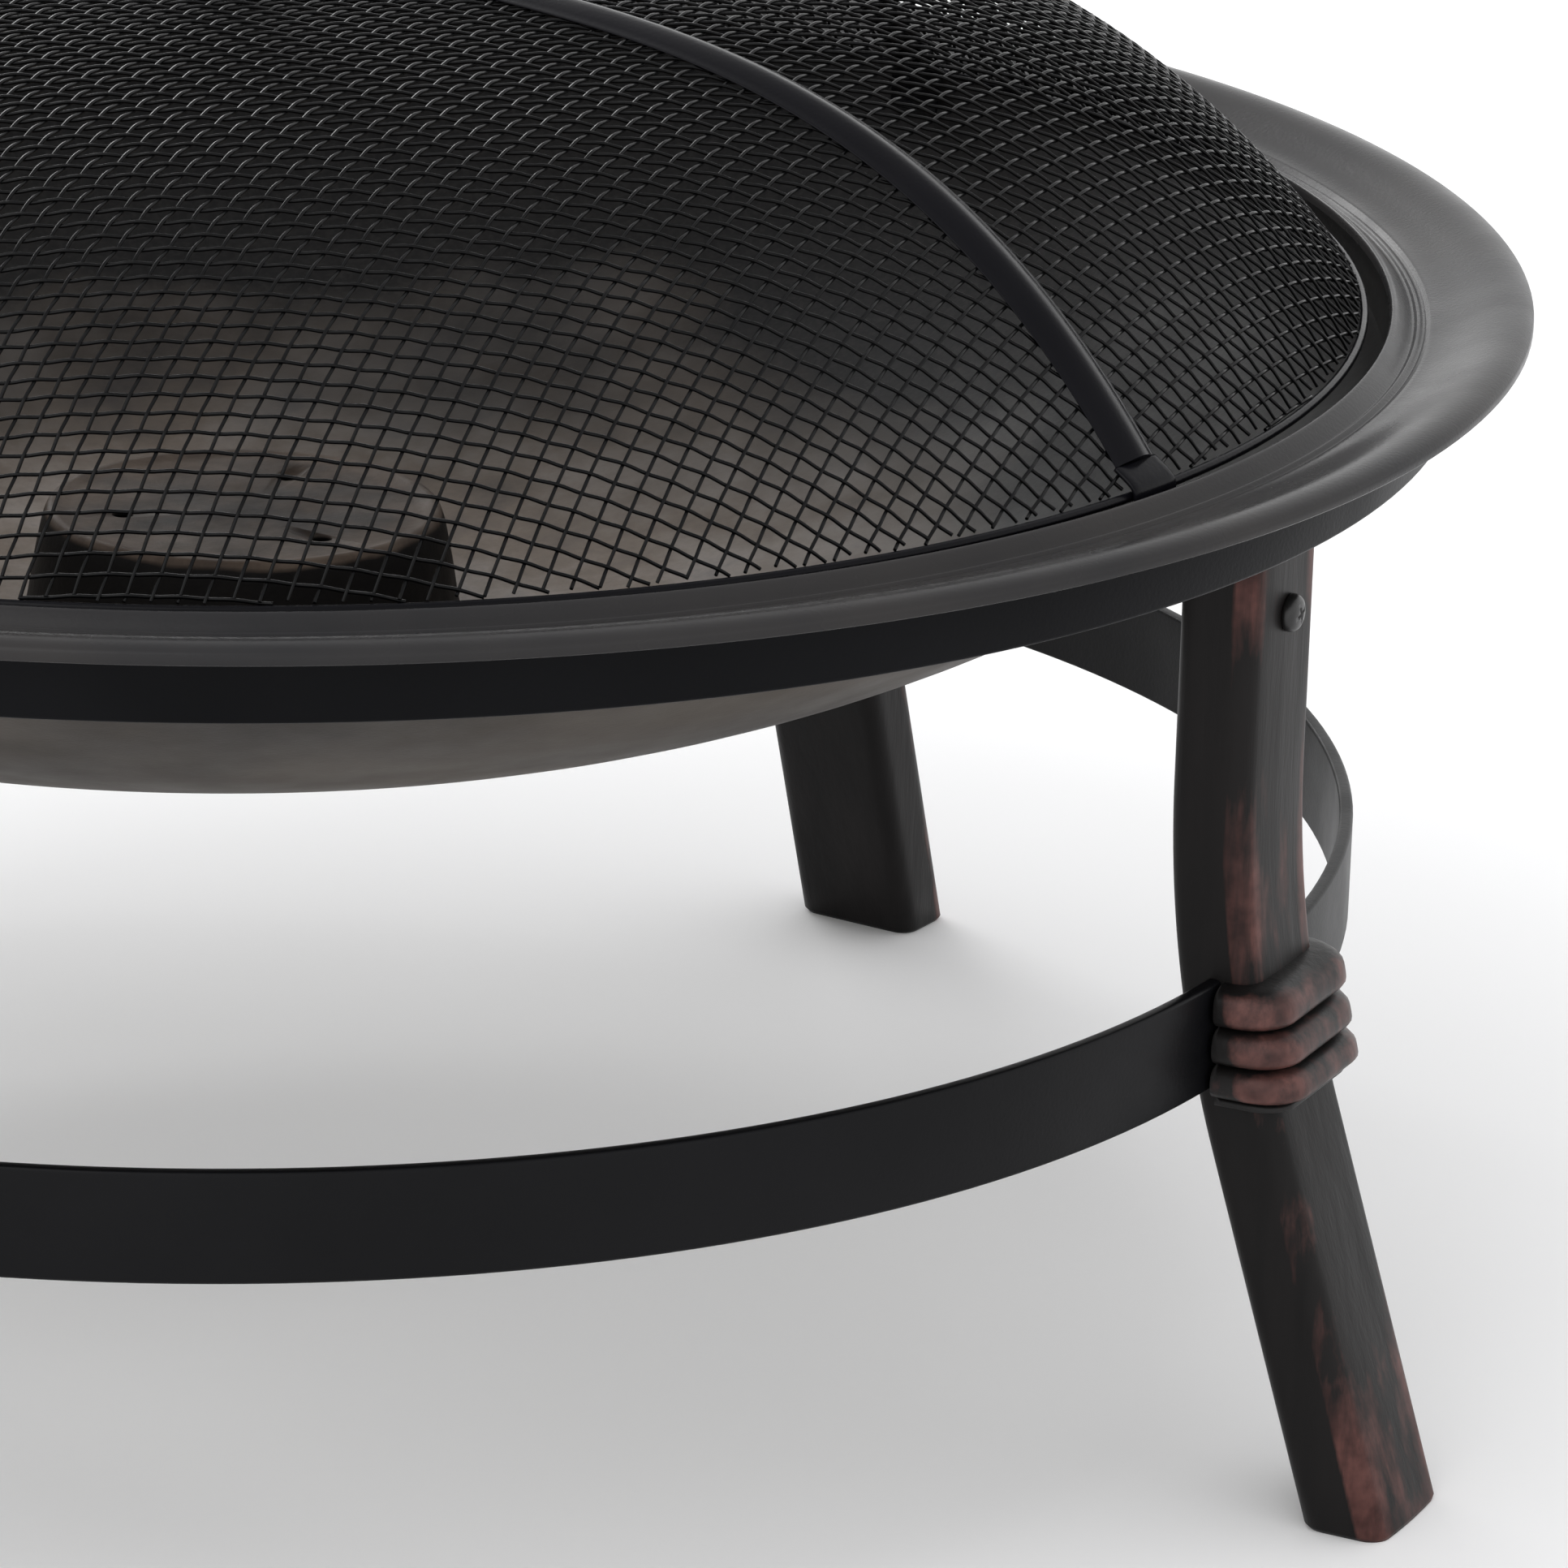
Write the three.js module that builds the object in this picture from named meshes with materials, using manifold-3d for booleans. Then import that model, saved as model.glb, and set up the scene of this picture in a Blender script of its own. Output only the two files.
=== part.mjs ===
// A round fire pit: a steel bowl hung in a four-legged stand, with a raised drum as its grate
// and a domed mesh lid. Millimetres, +Z up, the floor at z = 0, a pair of legs at either end of X.
import * as THREE from "three";
import { mergeVertices } from "three/addons/utils/BufferGeometryUtils.js";
import Module from "manifold-3d";

const wasm = await Module();
wasm.setup();

const GAP = 0.3; // clearance between pieces that touch
const AROUND = 48; // sides of the large round pieces
const RIM_RADIUS = 330;
const RIM_HEIGHT = 272;
const LEG_SPREAD = THREE.MathUtils.degToRad(42.3); // from the X axis to each leg
const LEG_ANGLES = [LEG_SPREAD, Math.PI - LEG_SPREAD, Math.PI + LEG_SPREAD, -LEG_SPREAD];
const FIRST_RIB = THREE.MathUtils.degToRad(36.5);
const RIB_ANGLES = [0, 1, 2, 3].map((quarter) => FIRST_RIB + (quarter * Math.PI) / 2);

// Bowl: every height below is measured from the rim, downwards negative.
const SHEET = 1.8;
const BOWL_DEPTH = 105.6;
const BOWL_POWER = 2.8; // flat bottom, full sides
const MOUTH_RADIUS = 294.7;
const MOUTH_Z = -16.5;
const FLANGE_INNER = 304.5;
const FLANGE_DIP = -4.4;
const CREST_RADIUS = 324.5; // where the flange is highest, before it turns over
const CREST_Z = 1.2;
const TURNOVER = 2.6; // how far the edge curves down from the crest
const EDGE_BOTTOM = -3.2;

// Stand
const BAND_RADIUS = 311.5;
const BAND_SHEET = 2.6;
const BAND_BOTTOM = -22.4;
const LEG_WIDTH = 38;
const LEG_DEPTH = 20.6;
const LEG_CORNER = 5;
const LEG_WALL = 1.8;
const LEG_RADIUS = 284.9; // middle of the straight part
const LEG_TOP_OUTER = -24;
const LEG_TOP_INNER = -35;
const BEND_START = -88;
const BEND_RADIUS = 290;
const BEND_ANGLE = THREE.MathUtils.degToRad(17.6);
const FOOT_THICKNESS = 3;
const RING_RADIUS = 291.5;
const RING_SHEET = 3.6;
const RING_TOP = -134.7;
const RING_HEIGHT = 27.1;
const WRAP_TOP = -135;
const WRAP_TURNS = [10.5, 9.5, 8.5, 2.5]; // heights of the stacked turns, from the top
const WRAP_OUT = 8.8; // how far a turn stands proud of the leg's outer face
const WRAP_ASIDE = 6.2; // and of its sides
const SCREW_Z = -46.3;
const SCREW_HEAD = 4.7;
const SCREW_RADIUS = 2.4;
const SCREW_HOLE = 2.8;
const SCREW_LENGTH = 12;
const BRACKET_SHEET = 3;
const BRACKET_WIDTH = 24;
const BRACKET_TOP = -9;
const BRACKET_STEP = -20.5; // where it turns in under the bowl

// Raised drum, standing a little off the bowl's centre
const DRUM_PLACE = new THREE.Vector2(6.85, -1.45);
const DRUM_TOP = -67;
const DRUM_RADIUS = 50.5;
const DRUM_FOOT = 60;
const DRUM_SHEET = 1.6;
const VENT_RADIUS = 2.8;
const VENT_CIRCLE = 31;
const FIRST_VENT = THREE.MathUtils.degToRad(57);

// Lid
const LID_RADIUS = 287.8;
const LID_BASE = -4;
const LID_RISE = 85;
const LID_POWER = 4.4; // flat top, quickly falling edge
const SCREEN = 1.2;
const LID_HEM = 1.2; // radius of the hem wire
const RIB_WIDTH = 15;
const RIB_SHEET = 1.6;
const RIB_INNER = 14;
const RIB_OUTER = 283.2;
const RIB_LIFT = 0.4; // over the screen
const RIB_FOOT_WIDTH = 16.5;
const PLATE_RADIUS = 44;
const PLATE_SHEET = 2.5;
const ROD = 4; // radius of the handle rod
const HANDLE_SPREAD = 32;
const HANDLE_HEIGHT = 42;
const HANDLE_BEND = 18;
const HANDLE_TAIL = 14; // threaded ends under the plate
const COLLAR_HEIGHT = 2.5;
const NUT_RADIUS = 7.5;
const NUT_HEIGHT = 6.5;

const material = (color, roughness, metalness) =>
  new THREE.MeshStandardMaterial({ color, roughness, metalness });
const finish = {
  bowl: () => material(0x4b4744, 0.42, 0.7),
  stand: () => material(0x24262a, 0.5, 0.6),
  leg: () => material(0x1d1b1a, 0.55, 0.6),
  wrap: () => material(0x2b211d, 0.5, 0.6),
  fastener: () => material(0x1a1a1b, 0.35, 0.8),
  drum: () => material(0x3d3733, 0.6, 0.5),
  mesh: () => material(0x121212, 0.6, 0.5),
  rib: () => material(0x1e1d1d, 0.4, 0.7),
};

// ---- Solids ----

function solid(geometry) {
  const bare = geometry.clone();
  bare.deleteAttribute("normal");
  bare.deleteAttribute("uv");
  const merged = mergeVertices(bare, 1e-4);
  const vertProperties = new Float32Array(merged.attributes.position.array);
  const triVerts = new Uint32Array(merged.index.array);
  return new wasm.Manifold(new wasm.Mesh({ numProp: 3, vertProperties, triVerts }));
}

function geometryOf(body) {
  const { vertProperties, triVerts } = body.getMesh();
  const geometry = new THREE.BufferGeometry();
  geometry.setAttribute("position", new THREE.BufferAttribute(vertProperties, 3));
  geometry.setIndex(new THREE.BufferAttribute(triVerts, 1));
  return geometry;
}

// A profile of [radius, z] points, anticlockwise, turned about the Z axis.
function turned(profile, sides = AROUND) {
  const points = profile.map(([r, z]) => new THREE.Vector2(r, z));
  return solid(new THREE.LatheGeometry(points, sides).rotateX(Math.PI / 2));
}

// An outline of [radius, z] points pulled across the width of a piece, its edges rounded.
function acrossWidth(outline, width, corner = 0, steps = 2) {
  const shape = new THREE.Shape(outline.map(([r, z]) => new THREE.Vector2(r, z)));
  const geometry = new THREE.ExtrudeGeometry(shape, {
    depth: width - 2 * corner,
    bevelEnabled: corner > 0,
    bevelSize: corner,
    bevelThickness: corner,
    bevelOffset: -corner,
    bevelSegments: steps,
  });
  return solid(geometry.translate(0, 0, corner - width / 2).rotateX(Math.PI / 2));
}

// A rounded rectangle lying flat, centred at (x, 0), rising from z by a height, its edges eased.
function pillow(x, z, length, width, height, corner, edge) {
  const [hl, hw] = [length / 2, width / 2];
  const shape = new THREE.Shape();
  shape.absarc(hl - corner, hw - corner, corner, 0, Math.PI / 2);
  shape.absarc(corner - hl, hw - corner, corner, Math.PI / 2, Math.PI);
  shape.absarc(corner - hl, corner - hw, corner, Math.PI, 1.5 * Math.PI);
  shape.absarc(hl - corner, corner - hw, corner, 1.5 * Math.PI, 2 * Math.PI);
  const geometry = new THREE.ExtrudeGeometry(shape, {
    depth: height - 2 * edge,
    bevelSize: edge,
    bevelThickness: edge,
    bevelOffset: -edge,
    bevelSegments: 1,
    curveSegments: 3,
  });
  return solid(geometry.translate(x, 0, z + edge));
}

function cylinder(radius, bottom, top, sides) {
  const geometry = new THREE.CylinderGeometry(radius, radius, top - bottom, sides);
  return solid(geometry.rotateX(Math.PI / 2).translate(0, 0, (top + bottom) / 2));
}

// A cylinder pointing outwards along X between two radii.
function radialPin(radius, inner, outer, z, sides = 12) {
  const geometry = new THREE.CylinderGeometry(radius, radius, outer - inner, sides);
  return solid(geometry.rotateZ(Math.PI / 2).translate((inner + outer) / 2, 0, z));
}

const steps = (count, at) => Array.from({ length: count + 1 }, (_, i) => at(i / count));
const above = (z) => RIM_HEIGHT + z;

const group = new THREE.Group();
group.name = "fire_pit";

function add(name, body, look, angle = 0) {
  const mesh = new THREE.Mesh(geometryOf(body), look());
  mesh.name = name;
  mesh.rotation.z = angle;
  group.add(mesh);
}

function addRound(name, body, look, angles) {
  angles.forEach((angle, i) => add(`${name}_${i + 1}`, body, look, angle));
}

// ---- Bowl ----

// A point of the bowl's underside at radius r, moved up square to the surface.
function bowlPoint(r, lift = 0) {
  const rise = BOWL_DEPTH + MOUTH_Z;
  const z = rise * (r / MOUTH_RADIUS) ** BOWL_POWER - BOWL_DEPTH;
  const slope = (rise * BOWL_POWER * (r / MOUTH_RADIUS) ** (BOWL_POWER - 1)) / MOUTH_RADIUS;
  const length = Math.hypot(slope, 1);
  return [r - (lift * slope) / length, above(z + lift / length)];
}

const bowlRadius = (t) => MOUTH_RADIUS * Math.sin((t * Math.PI) / 2);

// The flange is a shallow hollow that lifts from the mouth to the crest.
function flangePoint(t, drop = 0) {
  const r = FLANGE_INNER + (CREST_RADIUS - FLANGE_INNER) * t;
  const z = THREE.MathUtils.lerp(FLANGE_DIP, CREST_Z, THREE.MathUtils.smoothstep(t, 0, 1));
  return [r, above(z - drop)];
}

// From the crest the edge turns over and down.
function edgePoint(t, drop = 0) {
  const angle = (t * Math.PI) / 2;
  const r = CREST_RADIUS + (RIM_RADIUS - CREST_RADIUS - drop) * Math.sin(angle);
  return [r, above(CREST_Z - TURNOVER + (TURNOVER - drop) * Math.cos(angle))];
}

// A fine ridge between two grooves, then a lip that slopes up to the steep wall of the mouth.
const mouthLip = [
  [302.8, above(-5.4)],
  [301.4, above(-4.6)],
  [299.8, above(-5.6)],
  [295.8, above(-1.9)],
  [294.4, above(-2.6)],
];
const bowl = turned([
  ...steps(7, (t) => bowlPoint(bowlRadius(t))),
  [297.5, above(-8.5)],
  ...steps(4, (t) => flangePoint(t, SHEET)),
  ...steps(2, (t) => edgePoint(t, SHEET)).slice(1),
  [RIM_RADIUS - SHEET, above(EDGE_BOTTOM)],
  [RIM_RADIUS, above(EDGE_BOTTOM)],
  ...steps(3, (t) => edgePoint(1 - t)),
  ...steps(4, (t) => flangePoint(1 - t)).slice(1),
  ...mouthLip,
  ...steps(7, (t) => (t < 1 ? bowlPoint(bowlRadius(1 - t), SHEET) : [0, above(SHEET - BOWL_DEPTH)])),
]);
add("fire_bowl", bowl, finish.bowl);

// ---- Stand ----

// A flat bar bent on edge into a hoop, its edges slightly eased.
function hoop(radius, sheet, bottom, top) {
  const ease = 0.7;
  const inner = radius - sheet;
  return turned([
    [inner + ease, above(bottom)],
    [radius - ease, above(bottom)],
    [radius, above(bottom + ease)],
    [radius, above(top - ease)],
    [radius - ease, above(top)],
    [inner + ease, above(top)],
    [inner, above(top - ease)],
    [inner, above(bottom + ease)],
    [inner + ease, above(bottom)],
  ]);
}

// The band's top edge is just under the flange, which is lowest over the band's inner face.
const overBand = (BAND_RADIUS - BAND_SHEET - FLANGE_INNER) / (CREST_RADIUS - FLANGE_INNER);
const bandTop = flangePoint(overBand, SHEET + GAP)[1] - RIM_HEIGHT;
add("support_band", hoop(BAND_RADIUS, BAND_SHEET, BAND_BOTTOM, bandTop), finish.stand);

// A line along the leg at a distance outside its middle: straight down, a long bend, then out.
function legEdge(outside) {
  const radius = BEND_RADIUS - outside;
  const centre = LEG_RADIUS + BEND_RADIUS;
  const bend = steps(5, (t) => {
    const angle = BEND_ANGLE * t;
    return [centre - radius * Math.cos(angle), above(BEND_START - radius * Math.sin(angle))];
  });
  const [r, z] = bend[bend.length - 1];
  const reach = (z + LEG_DEPTH) / Math.cos(BEND_ANGLE); // past the floor
  return [
    [LEG_RADIUS + outside, above(0)],
    ...bend,
    [r + reach * Math.sin(BEND_ANGLE), z - reach * Math.cos(BEND_ANGLE)],
  ];
}

// The leg's bar, thinner or thicker by `grow` on every side, running past both its ends.
function legBar(grow, corner) {
  const half = LEG_DEPTH / 2 + grow;
  const outline = [...legEdge(half), ...legEdge(-half).reverse()];
  return acrossWidth(outline, LEG_WIDTH + 2 * grow, corner);
}

// The middle of the leg at a height within its bend.
const legMiddle = (z) => LEG_RADIUS + BEND_RADIUS - Math.sqrt(BEND_RADIUS ** 2 - (z - BEND_START) ** 2);

const slab = (bottom) => cylinder(2 * RIM_RADIUS, bottom, 2 * RIM_HEIGHT, 8);
const legTopCut = acrossWidth(
  [
    [LEG_RADIUS - LEG_DEPTH / 2, above(LEG_TOP_INNER)],
    [LEG_RADIUS + LEG_DEPTH / 2, above(LEG_TOP_OUTER)],
    [LEG_RADIUS + LEG_DEPTH, above(LEG_TOP_OUTER)],
    [LEG_RADIUS + LEG_DEPTH, above(2 * LEG_DEPTH)],
    [LEG_RADIUS - LEG_DEPTH, above(2 * LEG_DEPTH)],
    [LEG_RADIUS - LEG_DEPTH, above(LEG_TOP_INNER)],
  ],
  2 * LEG_WIDTH,
);
const legFace = LEG_RADIUS + LEG_DEPTH / 2;
const ringBottom = RING_TOP - RING_HEIGHT;
const ringMiddle = RING_TOP - RING_HEIGHT / 2;
const wallAtBolt = legMiddle(ringMiddle) + LEG_DEPTH / 2 - LEG_WALL / 2;
const insideRing = (from, to) => cylinder(RING_RADIUS + GAP, above(from - GAP), above(to + GAP), 2 * AROUND);
const leg = legBar(0, LEG_CORNER)
  .intersect(slab(0))
  .subtract(legBar(-LEG_WALL, LEG_CORNER - LEG_WALL).intersect(slab(FOOT_THICKNESS)))
  .subtract(legTopCut)
  .subtract(insideRing(ringBottom, RING_TOP))
  .subtract(radialPin(SCREW_HOLE, LEG_RADIUS, legFace + GAP, above(SCREW_Z)))
  .subtract(radialPin(SCREW_HOLE, RING_RADIUS, wallAtBolt, above(ringMiddle)));
addRound("leg", leg, finish.leg, LEG_ANGLES);

// A strap from the inside of the band, in under the bowl and down into the open end of the leg.
const strapOuter = BAND_RADIUS - BAND_SHEET - 3 * GAP; // a flat strap against a round band
const tongue = legFace - LEG_WALL - GAP;
const tongueBottom = SCREW_Z - 2 * SCREW_HEAD;
const bracket = acrossWidth(
  [
    [strapOuter, above(BRACKET_TOP)],
    [strapOuter - BRACKET_SHEET, above(BRACKET_TOP)],
    [strapOuter - BRACKET_SHEET, above(BRACKET_STEP)],
    [tongue - BRACKET_SHEET, above(BRACKET_STEP)],
    [tongue - BRACKET_SHEET, above(tongueBottom)],
    [tongue, above(tongueBottom)],
    [tongue, above(BRACKET_STEP - BRACKET_SHEET)],
    [strapOuter, above(BRACKET_STEP - BRACKET_SHEET)],
  ],
  BRACKET_WIDTH,
).subtract(radialPin(SCREW_HOLE, LEG_RADIUS, legFace, above(SCREW_Z)));
addRound("band_bracket", bracket, finish.stand, LEG_ANGLES);

// A round-headed screw along X, the underside of its head at x = 0.
function screw(length) {
  const profile = [
    [0, -length],
    [SCREW_RADIUS, -length],
    [SCREW_RADIUS, 0],
    [SCREW_HEAD, 0],
    [SCREW_HEAD, 0.25 * SCREW_HEAD],
    [0.7 * SCREW_HEAD, 0.6 * SCREW_HEAD],
    [0, 0.72 * SCREW_HEAD],
  ];
  return turned(profile, 10).rotate([0, 90, 0]);
}

const legScrew = screw(SCREW_LENGTH).translate([legFace + GAP, 0, above(SCREW_Z)]);
addRound("leg_screw", legScrew, finish.fastener, LEG_ANGLES);

// The ring, and the screws that hold it to the legs, their heads inside it.
const ringInside = RING_RADIUS - RING_SHEET - 3 * GAP; // a flat head against a round ring
const ring = LEG_ANGLES.map((angle) =>
  radialPin(SCREW_HOLE, ringInside - RING_SHEET, RING_RADIUS + RING_SHEET, above(ringMiddle)).rotate([
    0,
    0,
    THREE.MathUtils.radToDeg(angle),
  ]),
).reduce((body, hole) => body.subtract(hole), hoop(RING_RADIUS, RING_SHEET, ringBottom, RING_TOP));
add("lower_ring", ring, finish.stand);
const boltLength = wallAtBolt - GAP - ringInside;
const bolt = screw(boltLength).rotate([0, 0, 180]).translate([ringInside, 0, above(ringMiddle)]);
addRound("ring_bolt", bolt, finish.fastener, LEG_ANGLES);

// Stacked turns round the outside of the leg where the ring meets it; a thin turn stands less proud.
const turns = WRAP_TURNS.map((height, i) => {
  const top = WRAP_TOP - WRAP_TURNS.slice(0, i).reduce((sum, each) => sum + each, 0);
  const share = Math.min(1, height / WRAP_ASIDE);
  const bite = GAP / 2; // each turn runs into the next
  return pillow(
    legMiddle(top - height / 2),
    above(top - height - bite),
    LEG_DEPTH + 2 * WRAP_OUT * share,
    LEG_WIDTH + 2 * WRAP_ASIDE * share,
    height + 2 * bite,
    LEG_CORNER + WRAP_ASIDE * share,
    0.3 * height,
  );
});
const wrap = turns
  .reduce((body, turn) => body.add(turn))
  .subtract(legBar(GAP, LEG_CORNER))
  .subtract(insideRing(ringBottom - RING_HEIGHT, WRAP_TOP + RING_HEIGHT));
addRound("leg_wrap", wrap, finish.wrap, LEG_ANGLES);

// ---- Raised drum ----

const drumBase = bowlPoint(DRUM_FOOT + DRUM_PLACE.length(), SHEET)[1] - RIM_HEIGHT + 2 * GAP;
const drumFootTop = drumBase + DRUM_SHEET;
const drumShell = turned(
  [
    [0, above(DRUM_TOP - 2 - DRUM_SHEET)],
    [DRUM_RADIUS - 5, above(DRUM_TOP - 1 - DRUM_SHEET)],
    [DRUM_RADIUS - 0.2 - DRUM_SHEET, above(DRUM_TOP - 5)],
    [DRUM_RADIUS + 3.4 - DRUM_SHEET, above(drumBase + 10)],
    [DRUM_FOOT - 3.4, above(drumBase)],
    [DRUM_FOOT, above(drumBase)],
    [DRUM_FOOT, above(drumFootTop)],
    [DRUM_RADIUS + 4, above(drumFootTop + 8)],
    [DRUM_RADIUS + 0.6, above(DRUM_TOP - 3)],
    [DRUM_RADIUS - 1.2, above(DRUM_TOP)],
    [DRUM_RADIUS - 4, above(DRUM_TOP - 0.6)],
    [0, above(DRUM_TOP - 2)],
  ],
  32,
);
const vents = [0, 1, 2].map((third) => {
  const angle = FIRST_VENT + (third * 2 * Math.PI) / 3;
  const hole = cylinder(VENT_RADIUS, above(DRUM_TOP - 20), above(DRUM_TOP + 5), 12);
  return hole.translate([VENT_CIRCLE * Math.cos(angle), VENT_CIRCLE * Math.sin(angle), 0]);
});
const drum = vents
  .reduce((body, vent) => body.subtract(vent), drumShell)
  .translate([DRUM_PLACE.x, DRUM_PLACE.y, 0]);
add("fire_grate", drum, finish.drum);

// ---- Lid ----

// A point of the dome at radius r, moved outwards square to its surface.
function domePoint(r, lift = 0) {
  const z = LID_BASE + LID_RISE * (1 - (r / LID_RADIUS) ** LID_POWER);
  const slope = (LID_RISE * LID_POWER * (r / LID_RADIUS) ** (LID_POWER - 1)) / LID_RADIUS;
  const length = Math.hypot(slope, 1);
  return [r + (lift * slope) / length, above(z + lift / length)];
}

const screenEdge = LID_RADIUS - LID_HEM;
const domeStops = steps(12, (t) => screenEdge * Math.sin((t * Math.PI) / 2));
const apex = LID_BASE + LID_RISE;
const handleAngle = FIRST_RIB + Math.PI / 4; // between two ribs

// A body with the two holes that the handle's rod passes through.
function withRodHoles(body) {
  const hole = cylinder(ROD + GAP, above(apex - 10), above(apex + 20), 12);
  return [-1, 1].reduce((left, side) => left.subtract(hole.translate([side * HANDLE_SPREAD, 0, 0])), body);
}

// An outline along the dome between two lifts, for stops going outwards.
const alongDome = (stops, low, high) => [
  ...stops.map((r) => domePoint(r, low)),
  ...[...stops].reverse().map((r) => domePoint(r, high)),
];
add("lid_screen", withRodHoles(turned(alongDome(domeStops, -SCREEN, 0))), finish.mesh, handleAngle);

const hemWire = steps(6, (t) => [
  LID_RADIUS + LID_HEM * Math.cos(2 * Math.PI * t),
  above(LID_BASE + LID_HEM * Math.sin(2 * Math.PI * t)),
]);
add("lid_hem_ring", turned(hemWire), finish.rib);

const ribStops = [RIB_INNER, ...domeStops.filter((r) => r > RIB_INNER && r < RIB_OUTER), RIB_OUTER];
const rib = acrossWidth(alongDome(ribStops, RIB_LIFT, RIB_LIFT + RIB_SHEET), RIB_WIDTH, 0.5, 1);
addRound("lid_rib", rib, finish.rib, RIB_ANGLES);

// The foot goes on from the rib's end, round the outside of the hem wire and down to the bowl's slope.
const footInner = LID_RADIUS + LID_HEM + GAP;
const footTip = [LID_RADIUS + 1.7, above(LID_BASE - 13.2)];
const ribFoot = acrossWidth(
  [
    domePoint(RIB_OUTER + GAP, RIB_LIFT),
    [footInner, above(LID_BASE + 0.6)],
    [footInner, above(LID_BASE - 10.5)],
    footTip,
    [footInner + RIB_SHEET, above(LID_BASE - 11)],
    [footInner + RIB_SHEET, above(LID_BASE + 2)],
    domePoint(RIB_OUTER + GAP, RIB_LIFT + RIB_SHEET),
  ].reverse(),
  RIB_FOOT_WIDTH,
);
addRound("lid_rib_foot", ribFoot, finish.rib, RIB_ANGLES);

const plateBottom = apex + RIB_LIFT + RIB_SHEET + GAP;
const plateTop = plateBottom + PLATE_SHEET;
const plate = turned(
  [
    [0, above(plateBottom)],
    [PLATE_RADIUS, above(plateBottom)],
    [PLATE_RADIUS, above(plateTop - 1)],
    [PLATE_RADIUS - 2, above(plateTop)],
    [0, above(plateTop)],
  ],
  32,
);
add("lid_cap_plate", withRodHoles(plate), finish.rib, handleAngle);

// A rod bent into a loop, with a collar above the plate on either side.
const rodTop = above(plateTop + HANDLE_HEIGHT);
const rodBottom = above(plateBottom - HANDLE_TAIL);
const path = new THREE.CurvePath();
const at = (x, z) => new THREE.Vector3(x, 0, z);
const loop = [
  at(-HANDLE_SPREAD, rodBottom),
  at(-HANDLE_SPREAD, rodTop - HANDLE_BEND),
  at(-HANDLE_SPREAD, rodTop),
  at(HANDLE_BEND - HANDLE_SPREAD, rodTop),
  at(HANDLE_SPREAD - HANDLE_BEND, rodTop),
  at(HANDLE_SPREAD, rodTop),
  at(HANDLE_SPREAD, rodTop - HANDLE_BEND),
  at(HANDLE_SPREAD, rodBottom),
];
path.add(new THREE.LineCurve3(loop[0], loop[1]));
path.add(new THREE.QuadraticBezierCurve3(loop[1], loop[2], loop[3]));
path.add(new THREE.LineCurve3(loop[3], loop[4]));
path.add(new THREE.QuadraticBezierCurve3(loop[4], loop[5], loop[6]));
path.add(new THREE.LineCurve3(loop[6], loop[7]));
const section = new THREE.Shape().absarc(0, 0, ROD, 0, 2 * Math.PI);
const rod = solid(new THREE.ExtrudeGeometry(section, { steps: 24, extrudePath: path, curveSegments: 5 }));
const collarBottom = plateTop + GAP;
const collar = cylinder(2 * ROD, above(collarBottom), above(collarBottom + COLLAR_HEIGHT), 16);
const collars = [-1, 1].map((side) => collar.translate([side * HANDLE_SPREAD, 0, 0]));
const handle = collars.reduce((body, each) => body.add(each), rod);
add("lid_handle", handle, finish.fastener, handleAngle);

const nutTop = apex - SCREEN - GAP;
const nut = cylinder(NUT_RADIUS, above(nutTop - NUT_HEIGHT), above(nutTop), 6);
[-1, 1].forEach((side, i) => {
  const placed = withRodHoles(nut.translate([side * HANDLE_SPREAD, 0, 0]));
  add(`lid_handle_nut_${i + 1}`, placed, finish.fastener, handleAngle);
});

export default group;
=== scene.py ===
"""A round fire pit with a raised drum as its grate and a domed wire lid, dressed over its CAD frame."""

import math

import bmesh
import bpy
from mathutils import Matrix, Vector


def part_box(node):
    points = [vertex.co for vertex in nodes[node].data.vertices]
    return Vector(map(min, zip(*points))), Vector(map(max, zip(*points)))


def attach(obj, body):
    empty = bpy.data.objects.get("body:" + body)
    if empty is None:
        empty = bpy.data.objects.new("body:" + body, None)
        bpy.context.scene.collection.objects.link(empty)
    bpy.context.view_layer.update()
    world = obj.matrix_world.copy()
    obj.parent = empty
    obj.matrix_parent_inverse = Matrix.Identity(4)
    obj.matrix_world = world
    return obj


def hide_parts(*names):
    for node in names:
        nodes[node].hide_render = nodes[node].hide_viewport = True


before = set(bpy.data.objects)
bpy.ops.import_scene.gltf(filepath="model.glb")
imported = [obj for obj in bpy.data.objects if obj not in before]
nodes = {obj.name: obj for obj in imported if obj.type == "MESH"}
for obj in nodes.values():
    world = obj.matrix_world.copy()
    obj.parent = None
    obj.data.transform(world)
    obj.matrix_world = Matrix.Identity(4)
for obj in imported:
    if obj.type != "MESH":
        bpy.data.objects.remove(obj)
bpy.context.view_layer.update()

MM = 0.001
TINY = 1e-6
QUARTER = math.pi / 2  # of a turn

# ---- Dimensions in millimetres, the CAD's own where it has them; a name in _Z is a height ----

SHEET = 1.8
CREST_RADIUS = 324.5
CREST_RISE = 1.2  # of the flange's crest over the rim's height
RIM_RADIUS = round(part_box("fire_bowl")[1].x / MM, 3)
RIM_Z = round(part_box("fire_bowl")[1].z / MM - CREST_RISE, 3)
TURNOVER = 2.6  # how far the edge drops as it turns over
EDGE_DROP = 3.2  # from the rim's height to the bottom of the edge
EDGE_EASE = 0.4
FLANGE_INNER = 304.5
FLANGE_DIP = 4.4
MOUTH_RADIUS = 294.7
MOUTH_DROP = 16.5
BOWL_DEPTH = 105.6
BOWL_POWER = 2.8

DRUM_PLACE = (6.85, -1.45)  # of its axis, from the bowl's
DRUM_TOP = RIM_Z - 67
DRUM_FOOT = 60.0
VENTS = 3
VENT_RADIUS = 2.8
VENT_CIRCLE = 31.0
FIRST_VENT = math.radians(57)

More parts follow.
